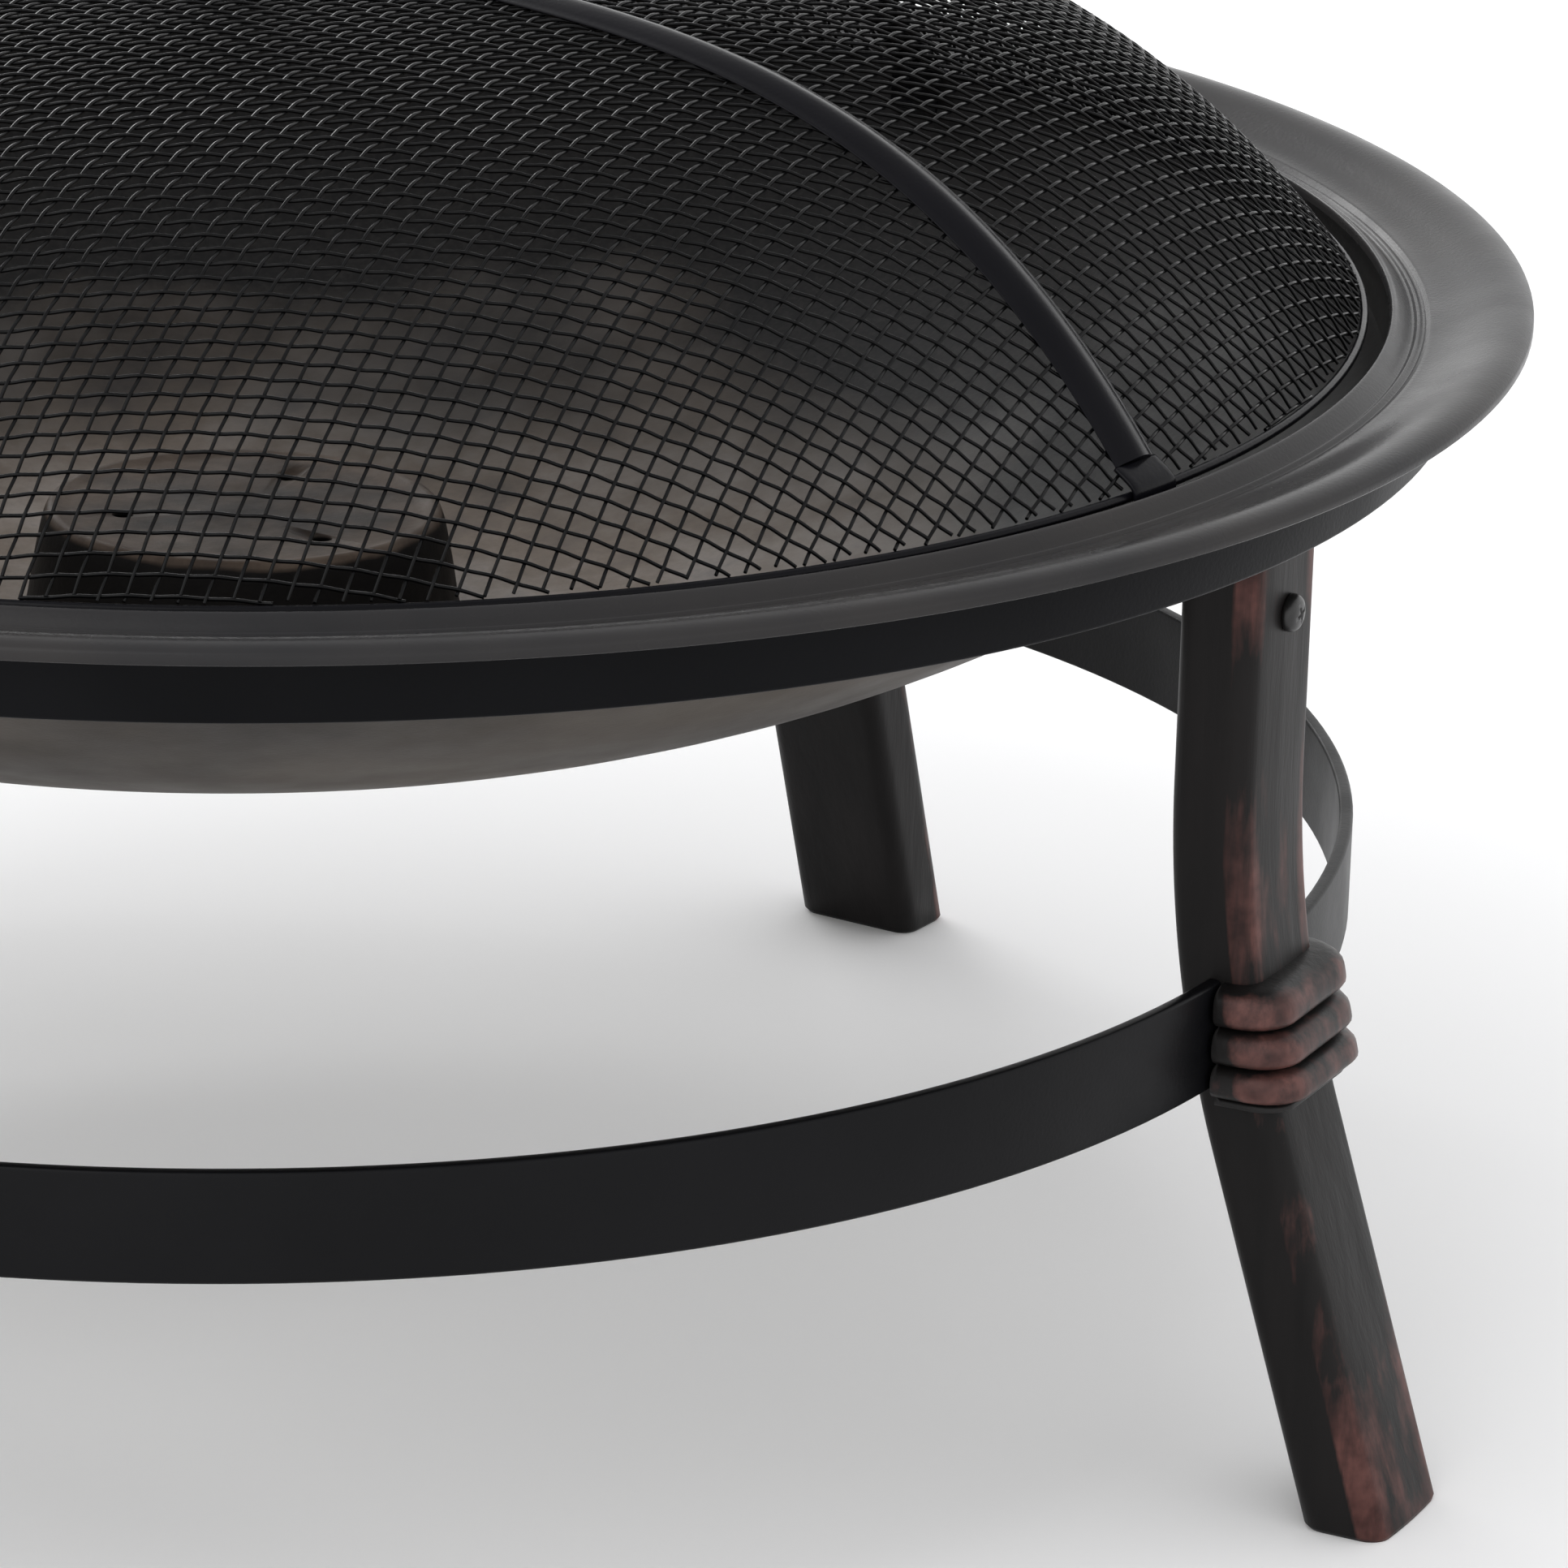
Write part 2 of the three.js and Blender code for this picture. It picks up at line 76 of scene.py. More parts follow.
BAND_RADIUS = 311.5
BAND_SHEET = 2.6
RING_RADIUS = 291.5
RING_SHEET = 3.6
RING_TOP = RIM_Z - 134.7
RING_HEIGHT = 27.1

LEG_SPREAD = math.radians(42.3)  # from the X axis to each leg
LEG_ANGLES = (LEG_SPREAD, math.pi - LEG_SPREAD, math.pi + LEG_SPREAD, -LEG_SPREAD)
LEG_WIDTH = 38.0
LEG_DEPTH = 20.6
LEG_CORNER = 5.0
LEG_RADIUS = 284.9
LEG_TOP = 24.0  # below the rim, at the outer face
LEG_TOP_SLANT = 11.0  # how much lower it is cut at the inner face
BEND_Z = RIM_Z - 88
BEND_RADIUS = 290.0
BEND_ANGLE = math.radians(17.6)
WRAP_TOP = RIM_Z - 135
WRAP_TURNS = (10.5, 9.5, 8.5, 2.5)  # their heights
WRAP_OUT = 8.8
WRAP_ASIDE = 6.2
SCREW_Z = RIM_Z - 46.3
SCREW_HEAD = 4.7
SCREW_LENGTH = 12.0

LID_RADIUS = 287.8
LID_Z = RIM_Z - 4
LID_RISE = 85.0
LID_POWER = 4.4
LID_HEM = 1.2
WIRE = 0.47  # radius
CELL = (5.85, 5.3)  # sides of a cell of the mesh along each family, measured on the dome
WIRE_ANGLES = (math.radians(-11.8), math.radians(48.2))  # of the two families over the dome's top
FIRST_RIB = math.radians(36.5)
RIB_ANGLES = [FIRST_RIB + quarter * QUARTER for quarter in range(4)]
RIB_WIDTH = 15.0
RIB_INNER = 14.0
RIB_OUTER = 283.2
FOOT_WIDTH = 16.2
PLATE_RADIUS = 44.0
PLATE_SHEET = 2.5
ROD = 4.0  # radius of the handle's rod
HANDLE_SPREAD = 32.0
HANDLE_TAIL = 14.0
HANDLE_HEIGHT = 42.0
HANDLE_BEND = 18.0

# How finely the pieces are divided.
AROUND = 240  # sides of the large round pieces
DRUM_SIDES = 128  # also the cap plate's
BOWL_STOPS = 40
FLANGE_STEPS = 20
FLANGE_UNDER_STEPS = 12
EDGE_STEPS = 12
EDGE_UNDER_STEPS = 8
VENT_SIDES = 32
EASE_STEPS = 4
CORNER_STEPS = 6
SIDE_STEPS = 6
LEG_STEP = 4.0
TURN_STEPS = 12
SCREW_SIDES = 48
HEM_SIDES = 12
RIB_STEPS = 72
STRAP_STEPS = 10
ROD_SIDES = 20
ROD_BEND_STEPS = 16
COLLAR_SIDES = 40
WIRE_SIDES = 6
WIRE_PIECES = 4  # of a wire from one crossing to the next


# ---- Camera and light ----

LENS = 193.1
CAMERA_PLACE = Vector((0, -2.0475, 0.8279))  # in metres, before it is turned by its azimuth
AZIMUTH = math.radians(-11.84)
YAW = math.radians(4.09)
DOWN = math.radians(18.76)
ROLL = math.radians(1.63)


def add_camera():
    """The photograph's viewpoint: a long lens a little above the lid, looking past the object's axis."""
    data = bpy.data.cameras.new("camera")
    data.sensor_width = 36
    data.lens = LENS
    data.clip_end = 50
    camera = bpy.data.objects.new("camera", data)
    place = Matrix.Translation(Matrix.Rotation(AZIMUTH, 3, "Z") @ CAMERA_PLACE)
    heading = Matrix.Rotation(AZIMUTH - YAW, 4, "Z")
    tilt = Matrix.Rotation(QUARTER - DOWN, 4, "X")
    camera.matrix_world = place @ heading @ tilt @ Matrix.Rotation(ROLL, 4, "Z")
    bpy.context.scene.collection.objects.link(camera)
    bpy.context.scene.camera = camera


def add_light(name, place, target, size, watts):
    """A soft rectangular lamp at place, turned to target; both are in metres."""
    data = bpy.data.lights.new(name, "AREA")
    data.shape = "RECTANGLE"
    data.size, data.size_y = size
    data.energy = watts
    lamp = bpy.data.objects.new(name, data)
    lamp.location = place
    lamp.rotation_euler = (Vector(target) - Vector(place)).to_track_quat("-Z", "Y").to_euler()
    bpy.context.scene.collection.objects.link(lamp)


# ---- Mesh helpers ----

def new_object(name, points, faces, material, smooth=True):
    """A mesh object from points in millimetres."""
    mesh = bpy.data.meshes.new(name)
    mesh.from_pydata([tuple(c * MM for c in p) for p in points], [], faces)
    mesh.update()
    if smooth:
        mesh.shade_smooth()
    obj = bpy.data.objects.new(name, mesh)
    bpy.context.scene.collection.objects.link(obj)
    mesh.materials.append(material)
    return obj


def move(obj, x, y, z):
    """Moves an object's mesh by a step in millimetres."""
    obj.data.transform(Matrix.Translation(Vector((x, y, z)) * MM))


def turn(obj, angle, axis="Z"):
    """Turns an object's mesh about an axis of the frame."""
    obj.data.transform(Matrix.Rotation(angle, 4, axis))


def paint_wear(obj, values):
    """Stores how much each vertex is rubbed, from 0 to 1."""
    layer = obj.data.attributes.new("wear", "FLOAT", "POINT")
    layer.data.foreach_set("value", values)


def stand_for(obj, body, slot, *cad_nodes):
    """Puts a piece on its body, in the place of the CAD nodes it dresses."""
    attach(obj, body)
    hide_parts(*cad_nodes)


def lathe(name, profile, material, sides=AROUND):
    """A profile of (radius, z) points turned about Z; points on the axis become single vertices."""
    points, rings, faces = [], [], []
    for r, z in profile:
        if r < TINY:
            rings.append([len(points)])
            points.append((0, 0, z))
            continue
        start = len(points)
        rings.append(list(range(start, start + sides)))
        for i in range(sides):
            a = 2 * math.pi * i / sides
            points.append((r * math.cos(a), r * math.sin(a), z))
    for low, high in zip(rings, rings[1:]):
        for i in range(sides):
            j = (i + 1) % sides
            if len(low) == 1:
                faces.append((low[0], high[j], high[i]))
            elif len(high) == 1:
                faces.append((low[i], low[j], high[0]))
            else:
                faces.append((low[i], low[j], high[j], high[i]))
    return new_object(name, points, faces, material)


def skin(rings, start=0):
    """The faces between equal rings of points, the first point being number start."""
    count = len(rings[0])
    faces = []
    for k in range(len(rings) - 1):
        low = start + k * count
        high = low + count
        for i in range(count):
            j = (i + 1) % count
            faces.append((low + i, low + j, high + j, high + i))
    return faces


def loft(name, rings, material):
    """Skins a list of equal rings of points and caps its ends."""
    points = [p for ring in rings for p in ring]
    count = len(rings[0])
    last = len(points) - count
    caps = [tuple(reversed(range(count))), tuple(range(last, last + count))]
    return new_object(name, points, skin(rings) + caps, material)


def tube_rings(line, radius, sides, upright=Vector((0, 0, 1))):
    """Rings of points round a line, kept upright."""
    rings = []
    for k, p in enumerate(line):
        ahead = line[min(k + 1, len(line) - 1)] - line[max(k - 1, 0)]
        aside = ahead.cross(upright).normalized()
        up = aside.cross(ahead).normalized()
        ring = []
        for i in range(sides):
            a = 2 * math.pi * i / sides
            ring.append(p + aside * (radius * math.cos(a)) + up * (radius * math.sin(a)))
        rings.append(ring)
    return rings


def smooth_line(points, pieces=6):
    """A Catmull-Rom line through points, cut into pieces between each two of them."""
    ends = [points[0], *points, points[-1]]
    line = []
    for p0, p1, p2, p3 in zip(ends, ends[1:], ends[2:], ends[3:]):
        for k in range(pieces):
            t = k / pieces
            line.append(tuple(curve_value(a, b, c, d, t) for a, b, c, d in zip(p0, p1, p2, p3)))
    line.append(points[-1])
    return line


def curve_value(a, b, c, d, t):
    """The Catmull-Rom value at t between b and c, for the four values in a row a, b, c and d."""
    straight = 2 * b + (c - a) * t
    bent = (2 * a - 5 * b + 4 * c - d) * t * t + (3 * b - a - 3 * c + d) * t ** 3
    return 0.5 * (straight + bent)


def turned_copy(obj, name, angle):
    """The same mesh turned about the object's axis."""
    copy = obj.copy()
    copy.data = obj.data.copy()
    copy.name = copy.data.name = name
    turn(copy, angle)
    bpy.context.scene.collection.objects.link(copy)
    return copy


def round_about(obj, name, angles, body, slot):
    """Puts a copy of a piece made along +X at each angle round the axis, each standing for its CAD node."""
    for i, angle in enumerate(angles):
        copy = turned_copy(obj, f"{name}_{i + 1}_look", angle)
        stand_for(copy, body, slot, f"{name}_{i + 1}")
    bpy.data.objects.remove(obj)


def subtract(obj, cutter):
    """Cuts one piece out of another and removes the cutter."""
    cut = obj.modifiers.new("cut", "BOOLEAN")
    cut.object = cutter
    cut.operation = "DIFFERENCE"
    bpy.context.view_layer.update()
    evaluated = obj.evaluated_get(bpy.context.evaluated_depsgraph_get())
    mesh = bpy.data.meshes.new_from_object(evaluated)
    obj.modifiers.clear()
    obj.data = mesh
    bpy.data.objects.remove(cutter)


def join(parts):
    """Joins the meshes of several objects into the first."""
    whole = bmesh.new()
    for part in parts:
        whole.from_mesh(part.data)
    whole.to_mesh(parts[0].data)
    whole.free()
    parts[0].data.shade_smooth()
    for part in parts[1:]:
        bpy.data.objects.remove(part)


# ---- Materials ----

class Nodes:
    """Short names for the node calls the materials use."""

    def __init__(self, name):
        self.material = bpy.data.materials.new(name)
        self.material.use_nodes = True
        self.tree = self.material.node_tree
        self.shader = self.tree.nodes["Principled BSDF"]

    def node(self, kind, **settings):
        made = self.tree.nodes.new(kind)
        for key, value in settings.items():
            setattr(made, key, value)
        return made

    def link(self, source, target):
        self.tree.links.new(source, target)

    def place(self, scale=(1, 1, 1)):
        """Object coordinates, stretched."""
        mapping = self.node("ShaderNodeMapping")
        mapping.inputs["Scale"].default_value = scale
        self.link(self.node("ShaderNodeTexCoord").outputs["Object"], mapping.inputs["Vector"])
        return mapping.outputs["Vector"]

    def noise(self, scale, detail=4, roughness=0.55, stretch=(1, 1, 1)):
        noise = self.node("ShaderNodeTexNoise")
        noise.inputs["Scale"].default_value = scale
        noise.inputs["Detail"].default_value = detail
        noise.inputs["Roughness"].default_value = roughness
        self.link(self.place(stretch), noise.inputs["Vector"])
        return noise.outputs["Fac"]

    def ramp(self, source, stops):
        """A colour ramp of (position, colour) stops; a number stands for a grey."""
        ramp = self.node("ShaderNodeValToRGB")
        elements = ramp.color_ramp.elements
        while len(elements) < len(stops):
            elements.new(0.5)
        for element, (position, colour) in zip(elements, stops):
            element.position = position
            rgb = (colour,) * 3 if isinstance(colour, (int, float)) else colour
            element.color = (*rgb, 1)
        self.link(source, ramp.inputs["Fac"])
        return ramp.outputs["Color"]

    def mix(self, factor, a, b):
        """Goes from a to b, each a colour or an output, as the factor rises."""
        mix = self.node("ShaderNodeMix", data_type="RGBA")
        self.link(factor, mix.inputs["Factor"])
        for socket, value in ((mix.inputs["A"], a), (mix.inputs["B"], b)):
            if isinstance(value, tuple):
                socket.default_value = (*value, 1)
            else:
                self.link(value, socket)
        return mix.outputs["Result"]

    def math(self, operation, a, b):
        """A sum or product of two outputs or numbers."""
        made = self.node("ShaderNodeMath", operation=operation)
        for socket, value in zip(made.inputs, (a, b)):
            if isinstance(value, (int, float)):
                socket.default_value = value
            else:
                self.link(value, socket)
        return made.outputs["Value"]

    def span(self, source, low, high, to_low=0.0, to_high=1.0):
        """The source's range low to high laid over to_low to to_high, and held beyond it."""
        made = self.node("ShaderNodeMapRange")
        for key, value in zip(("From Min", "From Max", "To Min", "To Max"), (low, high, to_low, to_high)):
            made.inputs[key].default_value = value
        self.link(source, made.inputs["Value"])
        return made.outputs["Result"]

    def attribute(self, name):
        return self.node("ShaderNodeAttribute", attribute_name=name).outputs["Fac"]

    def bump(self, height, strength, distance):
        bump = self.node("ShaderNodeBump")
        bump.inputs["Strength"].default_value = strength
        bump.inputs["Distance"].default_value = distance
        self.link(height, bump.inputs["Height"])
        self.link(bump.outputs["Normal"], self.shader.inputs["Normal"])

    def finish(self, colour, roughness, specular):
        self.link(colour, self.shader.inputs["Base Color"])
        self.link(roughness, self.shader.inputs["Roughness"])
        self.shader.inputs["Specular IOR Level"].default_value = specular
        return self.material


def satin_paint(name, dark, light, rough, specular, grain=900.0, bump=0.12):
    """Sprayed satin paint: cloudy tone, fine orange peel and a few dull spots."""
    n = Nodes(name)
    colour = n.ramp(n.noise(9, 5), [(0.3, dark), (0.7, light)])
    roughness = n.ramp(n.noise(30, 4), [(0.35, rough[0]), (0.7, rough[1])])
    n.bump(n.noise(grain, 2, 0.5), bump, 0.0004)
    return n.finish(colour, roughness, specular)


def heat_paint(name):
    """The paint inside the bowl: a blotchy brownish grey low in the bowl, part worn paint and part a painted
    highlight for the light its floor catches, darker up its sides.
    """
    # Radii between which the worn paint and painted highlight fade into the dark paint of the sides.
    wear_and_highlight_full, wear_and_highlight_end = 0.10, 0.215  # metres from the axis
    n = Nodes(name)
    dark = n.ramp(n.noise(7, 6, 0.6), [
        (0.32, (0.0042, 0.0042, 0.0047)),
        (0.75, (0.0092, 0.0084, 0.0079)),
    ])
    # Worn paint and a painted highlight: a lighter brownish grey standing in for the light the bowl's floor
    # catches.
    worn_and_painted_highlight = n.ramp(n.noise(16, 6, 0.65), [
        (0.28, (0.058, 0.050, 0.048)),
        (0.46, (0.160, 0.128, 0.102)),
        (0.60, (0.245, 0.215, 0.192)),
        (0.76, (0.100, 0.096, 0.106)),
    ])
    plan = n.node("ShaderNodeVectorMath", operation="LENGTH")
    n.link(n.place((1, 1, 0)), plan.inputs[0])
    spread = n.math("ADD", plan.outputs["Value"], n.span(n.noise(9, 4), 0.3, 0.7, -0.03, 0.03))
    colour = n.mix(n.span(spread, wear_and_highlight_end, wear_and_highlight_full), dark, worn_and_painted_highlight)
    speckle = n.ramp(n.noise(520, 2, 0.7), [(0.44, 0.0), (0.7, 0.16)])
    colour = n.mix(speckle, colour, (0.06, 0.056, 0.052))
    roughness = n.ramp(n.noise(24, 5), [(0.3, 0.42), (0.75, 0.56)])
    n.bump(n.noise(1400, 2, 0.5), 0.1, 0.0003)
    return n.finish(colour, roughness, specular=0.13)


def drum_paint(name, top):
    """Near-black on its side, and a dry brownish grey on top where the ashes lie, lightened further as a
    painted sheen for the light the top face catches from above.
    """
    # The top face takes the lighter colour: ash, together with a painted sheen for the light falling on it
    # from above.
    ash_and_sheen_from, ash_and_sheen_full = top - 0.0024, top - 0.0012
    n = Nodes(name)
    side = n.ramp(n.noise(20, 5), [
        (0.3, (0.0036, 0.0034, 0.0034)),
        (0.7, (0.0076, 0.0066, 0.0061)),
    ])
    ash_and_sheen = n.ramp(n.noise(34, 6, 0.65), [
        (0.3, (0.026, 0.019, 0.015)),
        (0.5, (0.062, 0.045, 0.034)),
        (0.7, (0.105, 0.080, 0.062)),
    ])
    split = n.node("ShaderNodeSeparateXYZ")
    n.link(n.place(), split.inputs["Vector"])
    height = n.math("ADD", split.outputs["Z"], n.span(n.noise(70, 3), 0.3, 0.7, -0.0004, 0.0004))
    colour = n.mix(n.span(height, ash_and_sheen_from, ash_and_sheen_full), side, ash_and_sheen)
    roughness = n.ramp(n.noise(60, 5), [(0.3, 0.42), (0.7, 0.62)])
    n.bump(n.noise(420, 3, 0.6), 0.25, 0.0005)
    return n.finish(colour, roughness, specular=0.1)


def rubbed_paint(name, grain, specular):
    """Near-black paint with reddish brown showing through where it is rubbed, in streaks along its grain."""
    n = Nodes(name)
    streaks = n.noise(190, 5, 0.65, grain)
    patches = n.noise(26, 4, 0.6)
    wear = n.attribute("wear")
    drive = n.math("ADD", n.math("MULTIPLY", wear, 0.5), n.math("MULTIPLY", patches, 0.5))
    rubbed = n.span(n.math("ADD", drive, n.math("MULTIPLY", streaks, 0.7)), 0.86, 1.12)
    black = n.ramp(n.noise(60, 4, 0.6, grain), [
        (0.3, (0.0045, 0.0042, 0.0042)),
        (0.75, (0.011, 0.0096, 0.0094)),
    ])
    brown = n.ramp(n.noise(120, 3), [
        (0.3, (0.040, 0.016, 0.014)),
        (0.72, (0.135, 0.058, 0.050)),
    ])
    colour = n.mix(rubbed, black, brown)
    roughness = n.ramp(n.noise(70, 4, 0.6, grain), [(0.3, 0.32), (0.75, 0.52)])
    n.bump(n.math("ADD", streaks, n.math("MULTIPLY", rubbed, -0.35)), 0.35, 0.0006)
    return n.finish(colour, roughness, specular)


looks = {
    "inside": heat_paint("bowl_inside_paint"),
    "flange": satin_paint(
        "flange_paint", (0.022, 0.022, 0.0235), (0.038, 0.0355, 0.0345), rough=(0.22, 0.32), specular=0.08
    ),
    "underside": satin_paint(
        "underside_paint", (0.024, 0.020, 0.018), (0.072, 0.059, 0.047), rough=(0.42, 0.56), specular=0.14
    ),
    "drum": drum_paint("drum_paint", DRUM_TOP * MM),
    "stand": satin_paint(
        "stand_paint", (0.0020, 0.0021, 0.0028), (0.0044, 0.0046, 0.0056), rough=(0.28, 0.38), specular=0.07
    ),
    "ring": satin_paint(
        "ring_paint", (0.0022, 0.0023, 0.0029), (0.0048, 0.0048, 0.0056), rough=(0.34, 0.44), specular=0.11
    ),
    "leg": rubbed_paint("leg_paint", grain=(1, 1, 0.12), specular=0.13),
    "wrap": rubbed_paint("wrap_paint", grain=(1, 1, 0.6), specular=0.24),
    "wire": satin_paint(
        "wire_paint", (0.0014, 0.0014, 0.0016), (0.0032, 0.0032, 0.0034), rough=(0.18, 0.27), specular=0.13,
        grain=1500, bump=0.05
    ),
    "lid": satin_paint(
        "lid_paint", (0.0020, 0.0020, 0.0030), (0.0046, 0.0044, 0.0060), rough=(0.2, 0.3), specular=0.09
    ),
    "fastener": satin_paint(
        "fastener_paint", (0.005, 0.005, 0.005), (0.011, 0.0105, 0.0105), rough=(0.25, 0.36), specular=0.5,
        bump=0.08
    ),
}


# ---- Bowl ----

def bowl_point(r, lift=0.0):
    """A point of the bowl's outer face over radius r, lifted square to it."""
    rise = BOWL_DEPTH - MOUTH_DROP
    z = rise * (r / MOUTH_RADIUS) ** BOWL_POWER - BOWL_DEPTH
    slope = rise * BOWL_POWER * (r / MOUTH_RADIUS) ** (BOWL_POWER - 1) / MOUTH_RADIUS
    length = math.hypot(slope, 1)
    return r - lift * slope / length, RIM_Z + z + lift / length


def bowl_line(lift):
    """The bowl's curve from its bottom to its mouth, with shorter pieces towards the mouth."""
    turns = [t / BOWL_STOPS * QUARTER for t in range(BOWL_STOPS + 1)]
    return [bowl_point(MOUTH_RADIUS * math.sin(a), lift) for a in turns]


def flange_point(t, drop=0.0):
    """A shallow hollow that lifts from the mouth, where t is 0, to the crest, where it is 1."""
    lift = t * t * (3 - 2 * t)
    r = FLANGE_INNER + (CREST_RADIUS - FLANGE_INNER) * t
    return r, RIM_Z - FLANGE_DIP + (CREST_RISE + FLANGE_DIP) * lift - drop


def edge_point(t, drop=0.0):
    """From the crest, where t is 0, the edge turns over and down."""
    a = t * QUARTER
    r = CREST_RADIUS + (RIM_RADIUS - CREST_RADIUS - drop) * math.sin(a)
    return r, RIM_Z + CREST_RISE - TURNOVER + (TURNOVER - drop) * math.cos(a)


def make_bowl():
    """The bowl in one turned profile: its underside, the edge, the flange, the mouth and the inside."""
    under = bowl_line(0) + [(297.5, RIM_Z - 8.6), (300.4, RIM_Z - 7.3)]
    under += [flange_point(t / FLANGE_UNDER_STEPS, SHEET) for t in range(FLANGE_UNDER_STEPS + 1)]
    edge_inner, edge_z = RIM_RADIUS - SHEET, RIM_Z - EDGE_DROP
    edge = [edge_point(t / EDGE_UNDER_STEPS, SHEET) for t in range(1, EDGE_UNDER_STEPS + 1)]
    edge += [(edge_inner, edge_z + EDGE_EASE), (edge_inner + EDGE_EASE, edge_z)]
    edge += [(RIM_RADIUS - EDGE_EASE, edge_z), (RIM_RADIUS, edge_z + EDGE_EASE)]
    edge += [edge_point(1 - t / EDGE_STEPS) for t in range(EDGE_STEPS + 1)]
    top = [flange_point(1 - t / FLANGE_STEPS) for t in range(1, FLANGE_STEPS)]
    # The groove, the fine ridge, the second groove, the sloping lip and its rounded edge.
    mouth = smooth_line([
        flange_point(0), (303.5, RIM_Z - 5.0), (302.7, RIM_Z - 5.5), (301.4, RIM_Z - 4.6),
        (300.3, RIM_Z - 5.6), (299.4, RIM_Z - 5.3), (297.5, RIM_Z - 3.4), (295.6, RIM_Z - 1.9),
        (294.5, RIM_Z - 2.5), (294.1, RIM_Z - 6),
    ])
    inner = bowl_line(SHEET)[::-1]
    bowl = lathe("fire_bowl_look", under + edge + top + mouth + inner, looks["flange"])
    underside, inside = 1, 2  # the numbers of the paints added here
    bowl.data.materials.append(looks["underside"])
    bowl.data.materials.append(looks["inside"])
    below_lip = 4  # pieces of the mouth's line that already have the inside's paint
    inside_from = len(under + edge + top + mouth) - below_lip
    for face in bowl.data.polygons:
        stop = face.index // AROUND
        if stop < len(under):
            face.material_index = underside
        elif stop >= inside_from:
            face.material_index = inside
    stand_for(bowl, "bowl", "bowl_steel", "fire_bowl")


# ---- Drum ----

def make_drum():
    """The raised drum: a dished top with three vents, a flaring side and a turned-out foot."""
    top, base = DRUM_TOP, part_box("fire_grate")[0].z / MM
    inner = [
        (0, top - 3.6), (43, top - 2.8), (48, top - 4.4), (50.8, top - 14), (53, base + 9), (56, base + 2.2),
    ]
    foot = [(DRUM_FOOT - 0.6, base), (DRUM_FOOT, base + 0.2)]
    outer = smooth_line([
        (DRUM_FOOT, base + 0.8), (57.6, base + 3.4), (55.2, base + 9), (53.2, top - 14), (51.4, top - 5),
        (50.4, top - 1.6),
    ])
    rim = [(49.8, top - 0.5), (48.8, top), (47.6, top - 0.15), (46, top - 0.8), (43.5, top - 1.2)]
    dish = [(30, top - 1.6), (15, top - 1.9), (0, top - 2)]
    drum = lathe("fire_grate_look", inner + foot + outer + rim + dish, looks["drum"], DRUM_SIDES)
    pin = [(0, top - 20), (VENT_RADIUS, top - 20), (VENT_RADIUS, top + 5), (0, top + 5)]
    for k in range(VENTS):
        a = FIRST_VENT + k * 2 * math.pi / VENTS
        cutter = lathe(f"vent_{k}", pin, looks["drum"], VENT_SIDES)
        move(cutter, VENT_CIRCLE * math.cos(a), VENT_CIRCLE * math.sin(a), 0)
        subtract(drum, cutter)
    move(drum, *DRUM_PLACE, 0)
    stand_for(drum, "grate", "drum_steel", "fire_grate")


# ---- Stand ----

def hoop(name, radius, sheet, bottom, top, ease, material):
    """A flat bar on edge, bent into a hoop, with eased edges."""
    inner = radius - sheet
    corners = (
        (radius - ease, bottom + ease, -90),
        (radius - ease, top - ease, 0),
        (inner + ease, top - ease, 90),
        (inner + ease, bottom + ease, 180),
    )
    profile = []
    for r, z, start in corners:
        for k in range(EASE_STEPS + 1):
            a = math.radians(start + 90 * k / EASE_STEPS)
            profile.append((r + ease * math.cos(a), z + ease * math.sin(a)))
    profile.append(profile[0])
    return lathe(name, profile, material)


def leg_middle(s):
    """Point and outward normal, in the r-z plane, at a length s below the rim along the leg's middle."""
    straight = RIM_Z - BEND_Z
    if s < straight:
        return (LEG_RADIUS, RIM_Z - s), (1, 0)
    a = min((s - straight) / BEND_RADIUS, BEND_ANGLE)
    r = LEG_RADIUS + BEND_RADIUS * (1 - math.cos(a))
    z = BEND_Z - BEND_RADIUS * math.sin(a)
    rest = max(s - straight - BEND_RADIUS * BEND_ANGLE, 0)
    return (r + rest * math.sin(a), z - rest * math.cos(a)), (math.cos(a), math.sin(a))


def leg_section(crown=0.8):
    """(out, across, wear) points round the leg's rounded section; its outer face is slightly crowned."""
    half_d, half_w = LEG_DEPTH / 2, LEG_WIDTH / 2
    corners = []
    for out_side, across_side, start in ((1, 1, 0), (-1, 1, 90), (-1, -1, 180), (1, -1, 270)):
        wear = 1.0 if out_side > 0 else 0.2  # the inner corners are hardly rubbed
        for k in range(CORNER_STEPS + 1):
            a = math.radians(start + 90 * k / CORNER_STEPS)
            out = out_side * (half_d - LEG_CORNER) + LEG_CORNER * math.cos(a)
            across = across_side * (half_w - LEG_CORNER) + LEG_CORNER * math.sin(a)
            corners.append((out, across, wear))
    # Points along each flat side, so that the crown and the wear have something to follow.
    outline = []
    for i, p in enumerate(corners):
        q = corners[(i + 1) % len(corners)]
        outline.append(p)
        if (i + 1) % (CORNER_STEPS + 1) == 0:
            wear = 0.6 * min(p[2], q[2])
            for k in range(1, SIDE_STEPS):
                t = k / SIDE_STEPS
                outline.append((p[0] + (q[0] - p[0]) * t, p[1] + (q[1] - p[1]) * t, wear))
    section = []
    for out, across, wear in outline:
        face = max(out, 0) / half_d
        bulge = crown * face * (1 - (across / half_w) ** 2) - crown * face * 0.2
        section.append((out + bulge, across, wear))
    return section


def leg_ring(s, section, slant):
    """The section square to the leg's middle at length s, with slant 1 cut off along the top's slope."""
    (r, z), (nr, nz) = leg_middle(s)
    ring = []
    for out, across, _ in section:
        drop = slant * LEG_TOP_SLANT * (0.5 - out / LEG_DEPTH)
        ring.append((r + nr * out, across, z + nz * out - drop))
    return ring


